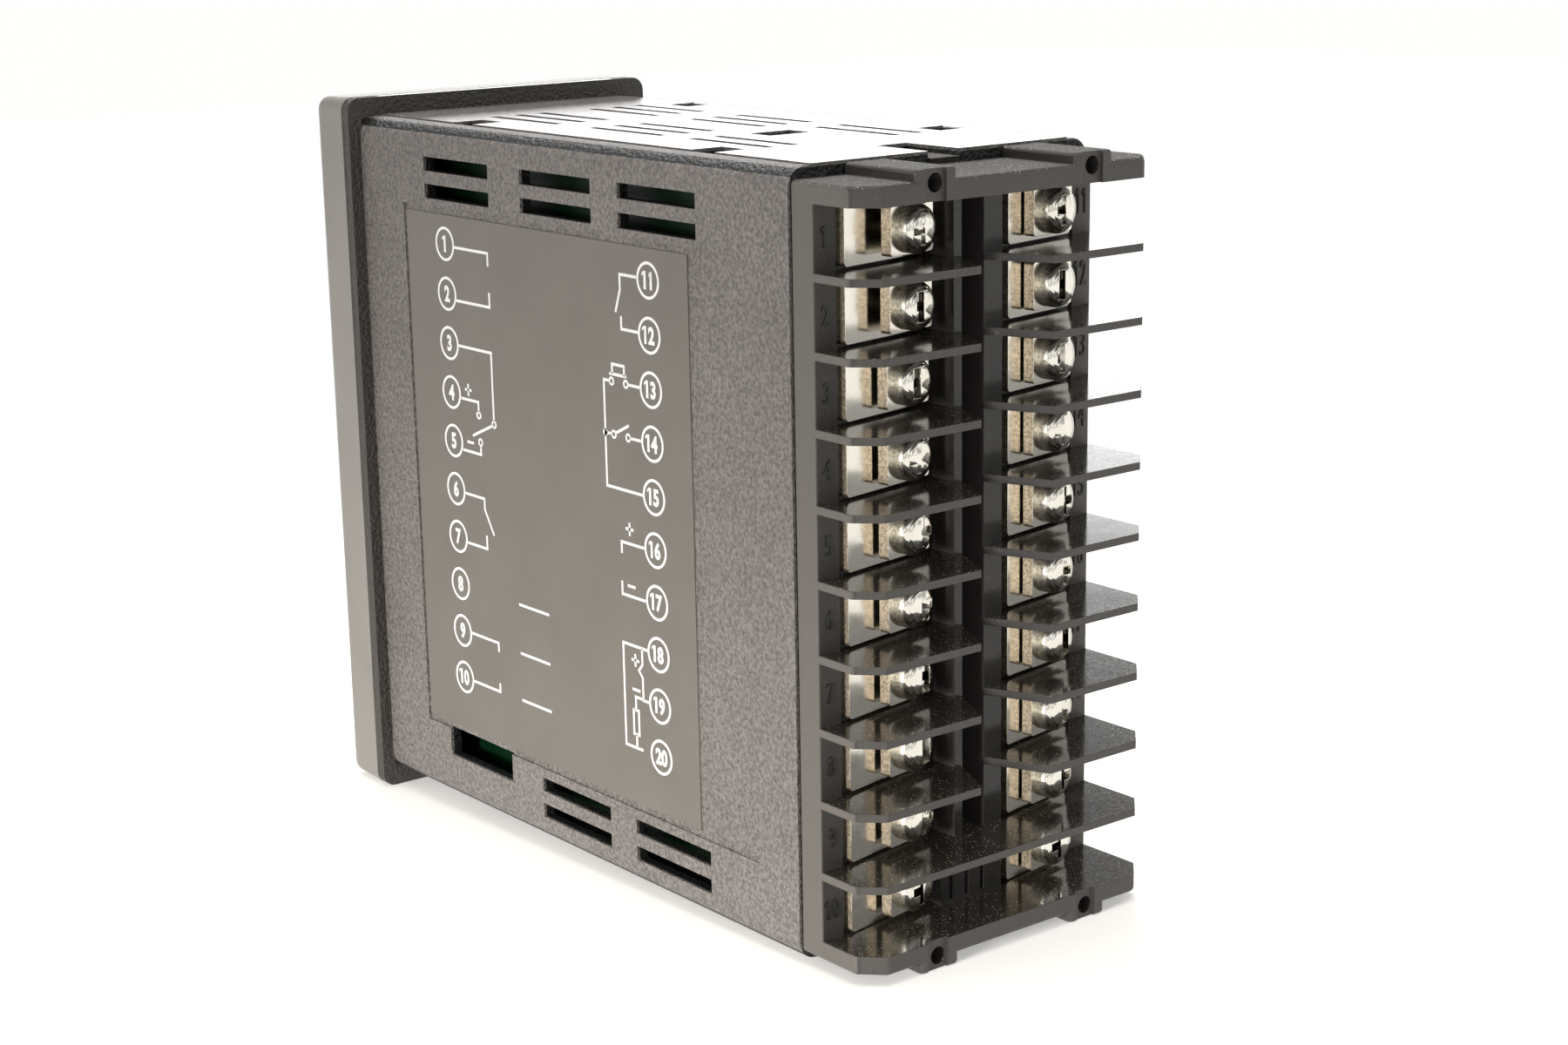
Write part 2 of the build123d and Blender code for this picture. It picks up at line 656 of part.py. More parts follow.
# Terminal block: a stepped body with two tilted columns, barriers, ledges and lugs
near_wall_x = channel_half + near_wall_thickness
far_wall_x = -channel_half - far_wall_thickness
near_strip_x = block_half - near_strip_width
far_strip_x = -block_half + far_strip_width
plug_half = bore_width / 2 - block_plug_clearance
plug_top = bore_top - block_plug_clearance
channel_floor = far_wall_y - channel_depth
last_barrier_z = barrier_heights[-1]
with BuildPart() as terminal_block:
    # The body's outline seen from above, from the near side wall round to the far one
    with BuildSketch(Plane.XY):
        with BuildLine():
            Polyline(
                (plug_half, block_plug_front),
                (plug_half, block_front),
                (block_half, block_front),
                (block_half, near_strip_y),
                (near_strip_x, near_strip_y),
                (near_strip_x, seat_y(near_strip_x, 1)),
                (near_wall_x, seat_y(near_wall_x, 1)),
                (near_wall_x, near_wall_y),
                (channel_half, near_wall_y),
                (channel_half, channel_floor),
                (-channel_half, channel_floor),
                (-channel_half, far_wall_y),
                (far_wall_x, far_wall_y),
                (far_wall_x, seat_y(far_wall_x, -1)),
                (far_strip_x, seat_y(far_strip_x, -1)),
                (far_strip_x, far_strip_y),
                (-block_half, far_strip_y),
                (-block_half, block_front),
                (-plug_half, block_front),
                (-plug_half, block_plug_front),
                close=True,
            )
        make_face()
    extrude(amount=ledge_inner_z, both=True)
    # The plug's upper and lower ends, inside the case
    with BuildSketch(depth_plane(block_plug_front)):
        Rectangle(2 * plug_half, 2 * plug_top)
        Rectangle(2 * plug_half, 2 * ledge_inner_z, mode=Mode.SUBTRACT)
    extrude(amount=-(block_front - block_plug_front))
    # Ledges above and below the columns
    add(block_ledge.part)
    add(mirror(block_ledge.part, about=Plane.XY))
    # Latch tongues in the notches of the case
    for end in (1, -1):
        with BuildSketch(Plane.XY.offset(end * (sleeve_height / 2 - tongue_drop))):
            with Locations((0, sleeve_length - (latch_notch_length - tongue_end_gap - block_gap) / 2)):
                Rectangle(tongue_width, latch_notch_length - tongue_end_gap + block_gap)
        extrude(amount=-end * tongue_thickness)
    # Barriers: a pair between each two rows, and one across both columns above the last row
    for height in barrier_heights:
        with BuildSketch(Plane.XY.offset(height)):
            with BuildLine():
                Polyline(
                    (channel_half, channel_floor),
                    (block_half, block_front),
                    (block_half, block_rear - block_corner_chamfer),
                    (block_half - block_corner_chamfer, block_rear),
                    (barrier_inner_x, block_rear),
                    (channel_half, near_wall_y),
                    close=True,
                )
            make_face()
            with BuildLine():
                Polyline(
                    (-channel_half, channel_floor),
                    (-channel_half, far_wall_y),
                    (-barrier_inner_x, block_rear),
                    (-block_half + block_corner_chamfer, block_rear),
                    (-block_half, block_rear - block_corner_chamfer),
                    (-block_half, block_front),
                    close=True,
                )
            make_face()
        extrude(amount=barrier_thickness / 2, both=True)
    with BuildSketch(Plane.XY.offset(last_barrier_z)):
        with Locations((0, (near_wall_y + block_rear) / 2)):
            Rectangle(2 * barrier_inner_x, block_rear - near_wall_y)
        with Locations((0, (channel_floor + near_wall_y) / 2)):
            Rectangle(channel_width, near_wall_y - channel_floor)
    extrude(amount=barrier_thickness / 2, both=True)
    # The wall between the two last terminals, with its narrow slots
    with BuildSketch(Plane.XY.offset(-ledge_inner_z)):
        with Locations(((grille_wall_x + far_wall_x) / 2, (channel_floor + far_wall_y) / 2)):
            Rectangle(grille_wall_x - far_wall_x, far_wall_y - channel_floor)
    extrude(amount=last_barrier_z + ledge_inner_z)
    with BuildSketch(Plane.XY.offset(-ledge_inner_z)):
        with Locations((channel_half + near_wall_thickness / 2, (far_wall_y + near_wall_y) / 2)):
            Rectangle(near_wall_thickness, near_wall_y - far_wall_y)
    extrude(amount=bay_height - ledge_inset, mode=Mode.SUBTRACT)
    with BuildSketch(depth_plane(far_wall_y)):
        with Locations((grille_middle_x, terminal_z(terminal_rows - 1))):
            with GridLocations(grille_slot_pitch, 0, grille_slots, 1):
                Rectangle(grille_slot_width, grille_slot_height)
    extrude(amount=grille_slot_depth, mode=Mode.SUBTRACT)
    # A pocket under each screw, and a slit for each terminal's tail
    with BuildSketch(*[terminal_plane(number) for number in terminal_numbers]):
        Rectangle(pocket_side, pocket_side)
    extrude(amount=-pocket_sink, mode=Mode.SUBTRACT)
    with BuildSketch(*[terminal_plane(number, shift=tail_shift(number)) for number in terminal_numbers]):
        Rectangle(tail_thickness + 2 * tail_clearance, tail_width + 2 * tail_clearance)
    extrude(amount=-tail_length, mode=Mode.SUBTRACT)
save(terminal_block.part, "terminal_block")

# Terminal plates: a flat with a threaded hole and a tail bent forward through the block
for number in terminal_numbers:
    inner_end, outer_end = plate_span(number)
    with BuildPart() as terminal_plate:
        with BuildSketch(terminal_plane(number, shift=(inner_end + outer_end) / 2)):
            RectangleRounded(outer_end - inner_end, plate_height, plate_corner_radius)
        extrude(amount=plate_thickness)
        with BuildSketch(terminal_plane(number, plate_thickness, tail_shift(number))):
            Rectangle(tail_thickness, tail_width)
        extrude(amount=-(plate_thickness + tail_length))
        with BuildSketch(terminal_plane(number)):
            Circle(screw_radius + screw_hole_clearance)
        extrude(amount=plate_thickness, mode=Mode.SUBTRACT)
    save(terminal_plate.part, f"terminal_plate_{number:02d}")

# Square washers, captive under the screw heads
with BuildPart() as square_washers:
    with BuildSketch(*[terminal_plane(number, washer_lift(number)) for number in terminal_numbers]):
        RectangleRounded(washer_width, washer_height, washer_corner_radius)
        Circle(screw_radius + screw_hole_clearance, mode=Mode.SUBTRACT)
    extrude(amount=washer_thickness)
save(square_washers.part, "square_washers")

# Terminal screws: domed pan heads with a cross recess, each stopped at its own angle
with BuildPart() as terminal_screws:
    with BuildSketch(*[terminal_plane(number, head_lift(number)) for number in terminal_numbers]):
        Circle(screw_head_radius)
    extrude(amount=screw_head_height)
    head_tops = terminal_screws.faces().filter_by(GeomType.PLANE)
    head_tops = head_tops.filter_by(lambda face: face.normal_at().dot(screw_direction) > 0)
    fillet(head_tops.edges(), radius=screw_dome_radius)
    with BuildSketch(*[terminal_plane(number, head_lift(number)) for number in terminal_numbers]):
        Circle(screw_radius)
    extrude(amount=-screw_length)
    crown_planes = [
        terminal_plane(number, head_lift(number) + screw_head_height, turn=number * screw_turn_step)
        for number in terminal_numbers
    ]
    with BuildSketch(*crown_planes):
        Rectangle(recess_length, recess_width)
        Rectangle(recess_width, recess_length)
    extrude(amount=-recess_sink, mode=Mode.SUBTRACT)
save(terminal_screws.part, "terminal_screws")
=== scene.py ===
import math

import bmesh
import bpy
from mathutils import Matrix, Vector


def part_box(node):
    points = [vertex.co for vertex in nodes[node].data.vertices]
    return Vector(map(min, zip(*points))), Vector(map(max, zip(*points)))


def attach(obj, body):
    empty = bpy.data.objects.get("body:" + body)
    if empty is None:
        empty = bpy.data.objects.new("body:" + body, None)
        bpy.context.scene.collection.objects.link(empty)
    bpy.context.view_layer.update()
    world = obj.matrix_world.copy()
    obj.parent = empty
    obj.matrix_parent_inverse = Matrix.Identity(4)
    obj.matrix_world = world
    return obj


# The look of a panel-mounted temperature controller. Metres, in the part's own frame:
# the origin is the centre of the panel plane, +Y runs back to the terminals, +Z is up.

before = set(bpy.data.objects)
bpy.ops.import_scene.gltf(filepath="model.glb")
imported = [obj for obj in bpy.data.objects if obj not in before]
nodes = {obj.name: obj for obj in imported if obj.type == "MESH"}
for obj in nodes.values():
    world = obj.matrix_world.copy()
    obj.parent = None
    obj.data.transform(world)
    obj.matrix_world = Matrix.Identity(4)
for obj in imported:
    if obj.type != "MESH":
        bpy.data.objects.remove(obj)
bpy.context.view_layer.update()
MM = 0.001
ROOT_BODY = "controller"

# Camera, fitted to the photograph
CAMERA_PLACE = Vector((200.70, 314.57, 76.28)) * MM
CAMERA_VIEW = Vector((-0.60308, -0.76162, -0.23710))
CAMERA_UP = Vector((-0.16088, -0.17500, 0.97134))
CAMERA_LENS = 61.32
SENSOR_WIDTH = 36.0

# Places on the part
block_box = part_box("terminal_block")
case_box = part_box("case")
LABEL_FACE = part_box("side_label")[1].x
TERMINAL_ROWS = 10
TERMINAL_PITCH = 8.5 * MM
TERMINAL_TOP = TERMINAL_PITCH * (TERMINAL_ROWS - 1) / 2
REST_FRONT = (0.0, case_box[0].z)
REST_REAR = (block_box[1].y, block_box[0].z)

# Where the case's finish changes: the smooth middle of its top ends between two distances from
# the centre plane, its outer skin starts at the next two (within them the case is painted in shade),
# and the painted shade on its flange face ends at the last
CASE_PLATEAU_X = (19.3 * MM, 18.9 * MM)
CASE_SKIN_X = 22.0 * MM
CASE_SKIN_Z = 45.3 * MM
CASE_FLANGE_Y = 0.2 * MM
# Painted shade on the flange face behind the bezel
FLANGE_SHADE_COLOUR = (0.05, 0.045, 0.039)
# Painted shade inside the case
INSIDE_SHADE_COLOUR = (0.006, 0.006, 0.006)

# Where the terminal block's finish changes: its rear faces, its side, its top shelf and the
# number strips outside its columns
BLOCK_SATIN_Y = 101.0 * MM
BLOCK_SKIN_X = 22.0 * MM
BLOCK_SHELF_Z = 43.8 * MM
BLOCK_STRIP_X = 19.0 * MM

# The tilted terminals: where the screw axes meet the seats, the reach of a head's recess and the
# height above the seat that only a recess lies under
COLUMN_TILT = math.radians(10.5)
SCREW_AXES = ((9.9 * MM, 92.86 * MM), (-12.4 * MM, 92.88 * MM))
RECESS_REACH = 1.75 * MM
RECESS_TOP = 3.15 * MM

# Shading only: how far sharp edges are rounded off, and the dome of the screw heads, whose end is
# given in reaches of the recess
BLOCK_ROUNDING = 0.12 * MM
METAL_ROUNDING = 0.1 * MM
DOME_END = 1.2
DOME_HEIGHT = 0.28 * MM

# The label's print
PRINT_RISE = 0.02 * MM
LINE_WIDTH = 0.36 * MM

# Digits: the share of the font's size that a capital takes, and the bar's width and the flag's
# reach of a 1, both as shares of its height
CAP_SHARE = 0.72
DIGIT_BAR = 0.14
DIGIT_FLAG = 0.2

# The floor, which fades to white between two distances from its middle
FLOOR_GLOW = 0.35
FLOOR_SIZE = 3.0
FLOOR_MIDDLE = Vector((0, 50, -47)) * MM
FLOOR_FADE = (130 * MM, 260 * MM)
FLOOR_GAP = 0.02 * MM

# The surroundings' brightness as light, in reflections and in their darker band
WORLD_DIFFUSE = 0.45
WORLD_GLOSSY = 1.0
WORLD_BAND = 0.4

# Plain finishes: name, dark and light colour, roughness, scale of the grain, and the endings of the
# names of the nodes that wear it
GRAIN = 1800.0
PLAIN_FINISHES = (
    ("solder_mask", (0.001, 0.015, 0.005), (0.002, 0.024, 0.008), 0.35, GRAIN, ("_board",)),
    ("window_plastic", (0.012, 0.012, 0.014), (0.018, 0.017, 0.02), 0.08, GRAIN, ("front_window",)),
    ("key_film", (0.05, 0.05, 0.055), (0.062, 0.062, 0.066), 0.4, GRAIN, ("key_film",)),
    ("key_plastic", (0.3, 0.31, 0.32), (0.36, 0.37, 0.38), 0.45, GRAIN, ("_key",)),
    ("display_red", (0.2, 0.01, 0.01), (0.3, 0.02, 0.02), 0.2, GRAIN, ("process_display",)),
    ("display_green", (0.01, 0.14, 0.03), (0.02, 0.22, 0.05), 0.2, GRAIN, ("setpoint_display",)),
    ("lamp_plastic", (0.6, 0.12, 0.04), (0.75, 0.2, 0.06), 0.25, GRAIN, ("_lamp",)),
    (
        "moulded_black",
        (0.02, 0.02, 0.021),
        (0.032, 0.031, 0.03),
        0.45,
        GRAIN,
        ("_header", "_switch", "controller_chip"),
    ),
    ("core_steel", (0.16, 0.15, 0.14), (0.24, 0.22, 0.2), 0.5, 900.0, ("transformer_core",)),
    ("coil_tape", (0.55, 0.4, 0.05), (0.68, 0.52, 0.09), 0.4, GRAIN, ("transformer_coil",)),
    ("relay_case", (0.02, 0.06, 0.2), (0.03, 0.09, 0.28), 0.3, GRAIN, ("_relay",)),
    ("capacitor_sleeve", (0.02, 0.02, 0.04), (0.035, 0.035, 0.06), 0.3, GRAIN, ("_capacitor",)),
)


def node_helpers(tree):
    """Helpers that add and link nodes in a tree; in_Name sets or links the input of that name."""

    def add(kind, **settings):
        node = tree.nodes.new(kind)
        for key, value in settings.items():
            if key.startswith("in_"):
                socket = node.inputs[key[3:].replace("_", " ")]
                if isinstance(value, bpy.types.NodeSocket):
                    tree.links.new(value, socket)
                else:
                    socket.default_value = value
            else:
                setattr(node, key, value)
        return node

    def link(source, target):
        tree.links.new(source, target)

    return add, link


def new_material(name):
    """An empty node material and the helpers for its tree."""
    material = bpy.data.materials.new(name)
    material.use_nodes = True
    tree = material.node_tree
    tree.nodes.clear()
    output = tree.nodes.new("ShaderNodeOutputMaterial")
    add, link = node_helpers(tree)
    return material, output, add, link


def ramp(add, factor, stops):
    """A colour ramp through stops, each a position and a grey value or a colour."""
    node = add("ShaderNodeValToRGB", in_Fac=factor)
    elements = node.color_ramp.elements
    while len(elements) < len(stops):
        elements.new(0.5)
    for element, (position, value) in zip(elements, stops):
        element.position = position
        element.color = (value, value, value, 1) if isinstance(value, (int, float)) else (*value, 1)
    return node.outputs["Color"]


def mix_colour(add, factor, first, second, blend="MIX"):
    """Mix two colours; each may be a socket or a plain colour."""
    node = add("ShaderNodeMix", data_type="RGBA", blend_type=blend, clamp_factor=True)
    for socket, value in ((node.inputs[0], factor), (node.inputs[6], first), (node.inputs[7], second)):
        if isinstance(value, bpy.types.NodeSocket):
            node.id_data.links.new(value, socket)
        elif isinstance(value, tuple):
            socket.default_value = (*value, 1)
        else:
            socket.default_value = value
    return node.outputs[2]


def arithmetic(add, operation, first, second=0.0, third=0.0):
    """One Math node."""
    node = add("ShaderNodeMath", operation=operation)
    for socket, value in zip(node.inputs, (first, second, third)):
        if isinstance(value, bpy.types.NodeSocket):
            node.id_data.links.new(value, socket)
        else:
            socket.default_value = value
    return node.outputs[0]


def axes(add, vector):
    """The three components of a vector."""
    return add("ShaderNodeSeparateXYZ", in_Vector=vector).outputs


def rescaled(add, value, zero_at, one_at):
    """A value taken to 0 at one place and 1 at another, and held beyond them."""
    settings = {"in_From_Min": zero_at, "in_From_Max": one_at}
    return add("ShaderNodeMapRange", in_Value=value, **settings).outputs["Result"]


def bumped(add, height, distance, strength=1.0, below=None):
    """A Bump node's normal, over another normal where one is given."""
    node = add("ShaderNodeBump", in_Height=height, in_Distance=distance, in_Strength=strength)
    if below is not None:
        node.id_data.links.new(below, node.inputs["Normal"])
    return node.outputs["Normal"]


def rounded(add, radius):
    """A normal that rounds sharp edges off in the shading."""
    return add("ShaderNodeBevel", samples=4, in_Radius=radius).outputs["Normal"]


def dust_mask(add, place, scale, size, amount):
    """Small scattered specks: 1 on a speck, 0 elsewhere.

    A speck has size as a share of its cell, and amount is the share of cells that hold one.
    """
    cells = add("ShaderNodeTexVoronoi", in_Vector=place, in_Scale=scale, in_Randomness=1.0)
    near = arithmetic(add, "LESS_THAN", cells.outputs["Distance"], size)
    split = add("ShaderNodeSeparateColor", in_Color=cells.outputs["Color"])
    chosen = arithmetic(add, "LESS_THAN", split.outputs["Red"], amount)
    return arithmetic(add, "MULTIPLY", near, chosen)


def upward_mask(add, low, high):
    """1 on faces that look up, 0 on the others, between two values of the normal's height."""
    normal = add("ShaderNodeNewGeometry").outputs["Normal"]
    return rescaled(add, axes(add, normal)["Z"], low, high)


def facing_ramp(add, component):
    """1 on faces that look along an axis, from their normal's component along it."""
    return ramp(add, component, [(0.5, 0.0), (0.8, 1.0)])


def case_plastic():
    """Black plastic with a spark-eroded grain on the sides and a smoother top and bottom, with painted
    shade on its flange face and inside it.
    """
    material, output, add, link = new_material("case_plastic")
    place = add("ShaderNodeTexCoord").outputs["Object"]
    normal = add("ShaderNodeNewGeometry").outputs["Normal"]
    level = arithmetic(add, "ABSOLUTE", axes(add, normal)["Z"])
    spot = axes(add, place)
    across = arithmetic(add, "ABSOLUTE", spot["X"])
    inner = rescaled(add, across, *CASE_PLATEAU_X)
    plateau = arithmetic(add, "MULTIPLY", ramp(add, level, [(0.7, 0.0), (0.95, 1.0)]), inner)
    skin = arithmetic(
        add,
        "MAXIMUM",
        arithmetic(add, "GREATER_THAN", across, CASE_SKIN_X),
        arithmetic(add, "GREATER_THAN", arithmetic(add, "ABSOLUTE", spot["Z"]), CASE_SKIN_Z),
    )
    grain = add("ShaderNodeTexNoise", in_Vector=place, in_Scale=2000.0, in_Detail=3.0, in_Roughness=0.6)
    pits = add("ShaderNodeTexVoronoi", in_Vector=place, in_Scale=2200.0, feature="SMOOTH_F1")
    cloud = add("ShaderNodeTexNoise", in_Vector=place, in_Scale=55.0, in_Detail=3.0, in_Roughness=0.55)
    relief = arithmetic(add, "MULTIPLY_ADD", pits.outputs["Distance"], 0.6, grain.outputs["Fac"])
    texture_strength = arithmetic(add, "MULTIPLY_ADD", plateau, -0.92, 1.0)
    relief = arithmetic(add, "MULTIPLY", relief, texture_strength)
    colour = ramp(add, cloud.outputs["Fac"], [(0.3, (0.2, 0.18, 0.166)), (0.7, (0.24, 0.217, 0.203))])
    speckle = ramp(add, grain.outputs["Fac"], [(0.36, 0.5), (0.64, 1.12)])
    colour = mix_colour(add, 1.0, colour, speckle, "MULTIPLY")
    # Painted shade on the flange face behind the bezel
    flange = arithmetic(add, "LESS_THAN", spot["Y"], CASE_FLANGE_Y)
    colour = mix_colour(add, flange, colour, FLANGE_SHADE_COLOUR)
    dust = dust_mask(add, place, scale=700.0, size=0.1, amount=0.035)
    colour = mix_colour(add, arithmetic(add, "MULTIPLY", dust, 0.6), colour, (0.55, 0.53, 0.5))
    # Painted shade: within the outer skin the case is coloured near black
    colour = mix_colour(add, skin, INSIDE_SHADE_COLOUR, colour)
    roughness = arithmetic(add, "MULTIPLY_ADD", plateau, -0.3, 0.5)
    shader = add(
        "ShaderNodeBsdfPrincipled",
        in_Base_Color=colour,
        in_Roughness=roughness,
        in_Normal=bumped(add, relief, 0.4 * MM, 0.9),
    )
    link(shader.outputs[0], output.inputs["Surface"])
    return material


def bezel_plastic():
    """Satin black plastic of the bezel, with a faint grain."""
    material, output, add, link = new_material("bezel_plastic")
    place = add("ShaderNodeTexCoord").outputs["Object"]
    grain = add("ShaderNodeTexNoise", in_Vector=place, in_Scale=3200.0, in_Detail=2.0)
    cloud = add("ShaderNodeTexNoise", in_Vector=place, in_Scale=40.0, in_Detail=4.0)
    colour = ramp(add, cloud.outputs["Fac"], [(0.35, (0.225, 0.21, 0.187)), (0.65, (0.265, 0.248, 0.225))])
    dust = dust_mask(add, place, scale=420.0, size=0.08, amount=0.05)
    colour = mix_colour(add, arithmetic(add, "MULTIPLY", dust, 0.5), colour, (0.6, 0.58, 0.55))
    shader = add(
        "ShaderNodeBsdfPrincipled",
        in_Base_Color=colour,
        in_Roughness=ramp(add, cloud.outputs["Fac"], [(0.3, 0.36), (0.7, 0.44)]),
        in_Normal=bumped(add, grain.outputs["Fac"], 0.012 * MM, 0.5),
    )
    link(shader.outputs[0], output.inputs["Surface"])
    return material


def label_foil():
    """The label's matt foil, with faint smears and a few specks."""
    material, output, add, link = new_material("label_foil")
    place = add("ShaderNodeTexCoord").outputs["Object"]
    cloud = add("ShaderNodeTexNoise", in_Vector=place, in_Scale=90.0, in_Detail=5.0, in_Roughness=0.6)
    grain = add("ShaderNodeTexNoise", in_Vector=place, in_Scale=2500.0, in_Detail=2.0)
    colour = ramp(add, cloud.outputs["Fac"], [(0.3, (0.142, 0.127, 0.109)), (0.7, (0.168, 0.152, 0.132))])
    dust = dust_mask(add, place, scale=330.0, size=0.06, amount=0.1)
    colour = mix_colour(add, arithmetic(add, "MULTIPLY", dust, 0.8), colour, (0.6, 0.58, 0.54))
    shader = add(
        "ShaderNodeBsdfPrincipled",
        in_Base_Color=colour,
        in_Roughness=ramp(add, cloud.outputs["Fac"], [(0.3, 0.42), (0.7, 0.52)]),
        in_Normal=bumped(add, grain.outputs["Fac"], 0.006 * MM, 0.4),
    )
    link(shader.outputs[0], output.inputs["Surface"])
    return material


def print_ink():
    """Pale ink of the label's print."""
    material, output, add, link = new_material("print_ink")
    place = add("ShaderNodeTexCoord").outputs["Object"]
    wear = add("ShaderNodeTexNoise", in_Vector=place, in_Scale=1500.0, in_Detail=3.0)
    colour = ramp(add, wear.outputs["Fac"], [(0.3, (0.8, 0.79, 0.76)), (0.7, (0.95, 0.94, 0.92))])
    shader = add("ShaderNodeBsdfPrincipled", in_Base_Color=colour, in_Roughness=0.5)
    link(shader.outputs[0], output.inputs["Surface"])
    return material


def block_masks(add, place, upward):
    """Where the block is satin at the rear and outside, where its shelf and strips are, and where it has
    painted light.
    """
    normal = axes(add, add("ShaderNodeNewGeometry").outputs["True Normal"])
    spot = axes(add, place)
    rearward = facing_ramp(add, normal["Y"])
    across = arithmetic(add, "ABSOLUTE", spot["X"])
    strip = arithmetic(add, "MULTIPLY", rearward, arithmetic(add, "GREATER_THAN", across, BLOCK_STRIP_X))
    return {
        "satin": arithmetic(
            add, "MULTIPLY", rearward, arithmetic(add, "GREATER_THAN", spot["Y"], BLOCK_SATIN_Y)
        ),
        "side": arithmetic(add, "GREATER_THAN", spot["X"], BLOCK_SKIN_X),
        "shelf": arithmetic(
            add, "MULTIPLY", upward, arithmetic(add, "GREATER_THAN", spot["Z"], BLOCK_SHELF_Z)
        ),
        "sideways_painted_light": facing_ramp(add, normal["X"]),
        "strip": strip,
        "far_strip_painted_light": arithmetic(add, "MULTIPLY", strip, arithmetic(add, "LESS_THAN", spot["X"], 0.0)),
    }


def block_plastic():
    """Glossy black moulding of the terminal block, satin outside and dusty on its upward faces, with
    painted light on its faces that look towards +X and on its far number strip.
    """
    material, output, add, link = new_material("block_plastic")
    place = add("ShaderNodeTexCoord").outputs["Object"]
    wave = add("ShaderNodeTexNoise", in_Vector=place, in_Scale=160.0, in_Detail=2.0)
    grain = add("ShaderNodeTexNoise", in_Vector=place, in_Scale=2400.0, in_Detail=3.0)
    upward = upward_mask(add, 0.4, 0.8)
    masks = block_masks(add, place, upward)
    fine = dust_mask(add, place, scale=3600.0, size=0.24, amount=0.25)
    coarse = dust_mask(add, place, scale=1100.0, size=0.1, amount=0.35)
    dust = arithmetic(add, "MAXIMUM", fine, coarse)
    dust = arithmetic(add, "MULTIPLY", dust, arithmetic(add, "MULTIPLY_ADD", upward, 0.85, 0.08))
    darkest, lightest = (0.02, 0.0183, 0.0165), (0.031, 0.0285, 0.0255)
    colour = ramp(add, wave.outputs["Fac"], [(0.35, darkest), (0.65, lightest)])
    for mask, tint in (
        (arithmetic(add, "MULTIPLY", upward, 0.25), (0.09, 0.077, 0.055)),
        (masks["strip"], (0.05, 0.046, 0.041)),
        # Painted light: the far number strip is coloured lighter than the near one
        (masks["far_strip_painted_light"], (0.13, 0.12, 0.1)),
        # Painted light: faces that look towards +X are coloured lighter
        (masks["sideways_painted_light"], (0.06, 0.055, 0.053)),
        (masks["satin"], (0.075, 0.069, 0.062)),
        (masks["side"], (0.12, 0.11, 0.097)),
        (dust, (0.7, 0.66, 0.56)),
    ):
        colour = mix_colour(add, mask, colour, tint)
    polish = ramp(add, grain.outputs["Fac"], [(0.35, 0.1), (0.7, 0.2)])
    matt = arithmetic(add, "MAXIMUM", masks["satin"], masks["side"])
    matt = arithmetic(add, "MAXIMUM", matt, masks["strip"])
    roughness = arithmetic(add, "MULTIPLY_ADD", matt, 0.35, polish)
    roughness = arithmetic(add, "MULTIPLY_ADD", masks["shelf"], 0.6, roughness)
    normal = bumped(add, wave.outputs["Fac"], 0.08 * MM, 0.2, below=rounded(add, BLOCK_ROUNDING))
    shader = add(
        "ShaderNodeBsdfPrincipled",
        in_Base_Color=colour,
        in_Roughness=roughness,
        in_Normal=bumped(add, grain.outputs["Fac"], 0.006 * MM, 0.3, below=normal),
    )
    link(shader.outputs[0], output.inputs["Surface"])
    return material


def screw_masks(add, place, edge):
    """How far a point lies from its screw's axis, 1 at the recess's reach, and a mask of the recess.

    edge is 1 on faces that run along the axis.
    """
    spot = axes(add, place)
    row = arithmetic(add, "FRACT", arithmetic(add, "DIVIDE", spot["Z"], TERMINAL_PITCH))
    up = arithmetic(add, "MULTIPLY_ADD", row, TERMINAL_PITCH, -TERMINAL_PITCH / 2)
    inside = nearest = None
    for x, y in SCREW_AXES:
        right = arithmetic(add, "SUBTRACT", spot["X"], x)
        back = arithmetic(add, "SUBTRACT", spot["Y"], y)
        along = arithmetic(add, "MULTIPLY", back, math.sin(COLUMN_TILT))
        along = arithmetic(add, "MULTIPLY_ADD", right, math.cos(COLUMN_TILT), along)
        height = arithmetic(add, "MULTIPLY", back, math.cos(COLUMN_TILT))
        height = arithmetic(add, "MULTIPLY_ADD", right, -math.sin(COLUMN_TILT), height)
        offset = add("ShaderNodeCombineXYZ", in_X=along, in_Y=up)
        length = add("ShaderNodeVectorMath", operation="LENGTH", in_Vector=offset.outputs[0])
        reach = arithmetic(add, "DIVIDE", length.outputs["Value"], RECESS_REACH)
        here = arithmetic(
            add,
            "MULTIPLY",
            arithmetic(add, "LESS_THAN", reach, 1.0),
            arithmetic(add, "MAXIMUM", arithmetic(add, "LESS_THAN", height, RECESS_TOP), edge),
        )
        inside = here if inside is None else arithmetic(add, "MAXIMUM", inside, here)
        nearest = reach if nearest is None else arithmetic(add, "MINIMUM", nearest, reach)
    return nearest, inside


